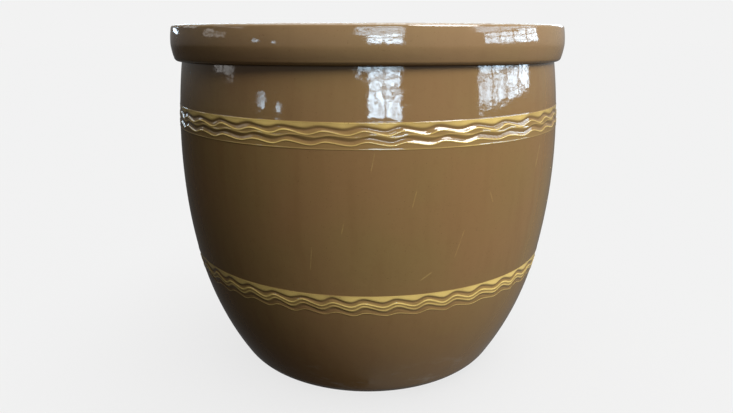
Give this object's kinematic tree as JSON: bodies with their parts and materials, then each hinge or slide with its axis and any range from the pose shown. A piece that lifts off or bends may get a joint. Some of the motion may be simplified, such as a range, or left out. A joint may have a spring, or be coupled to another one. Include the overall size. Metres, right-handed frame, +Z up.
{
  "type": "ceramic crock fermenter",
  "caption": "Wide-mouthed glazed stoneware fermenting vat with a thick collar and combed wave bands, with a wooden press lid and half-moon weights inside.",
  "frame": {"origin": "on the floor at the crock's axis, the centre of its flat bottom", "axes": "+Z up along the crock's axis, X along the boards of the press lid, Y along its battens"},
  "size_m": [0.78, 0.78, 0.7],
  "materials": {
    "crock_glaze": "glossy brown-olive ash glaze",
    "weight_glaze": "satin brown glaze",
    "lid_wood": "planed softwood, unfinished",
    "peg_wood": "split bamboo, unfinished"
  },
  "bodies": {
    "crock": {"base": "crock_glaze", "lower_wall": "crock_glaze", "middle_wall": "crock_glaze", "upper_wall": "crock_glaze", "rim_collar": "crock_glaze"},
    "press_lid": {"press_board_1": "lid_wood", "press_board_2": "lid_wood", "press_board_3": "lid_wood", "press_board_4": "lid_wood", "press_board_5": "lid_wood", "press_board_6": "lid_wood", "press_board_7": "lid_wood", "edge_dowels": "peg_wood", "batten_left": "lid_wood", "batten_right": "lid_wood", "batten_pegs": "peg_wood", "lift_bar": "lid_wood", "lift_bar_pegs": "peg_wood"},
    "back_weight_body": {"back_weight": "weight_glaze"},
    "front_weight_body": {"front_weight": "weight_glaze"}
  },
  "joints": [
    {"name": "press_lid_lift", "type": "slide", "parent": "crock", "child": "press_lid", "axis": [0, 0, 1], "range_m": [0, 0.58]},
    {"name": "back_weight_lift", "type": "slide", "parent": "press_lid", "child": "back_weight_body", "axis": [0, 0, 1], "range_m": [0, 0.5]},
    {"name": "front_weight_lift", "type": "slide", "parent": "press_lid", "child": "front_weight_body", "axis": [0, 0, 1], "range_m": [0, 0.5]}
  ]
}
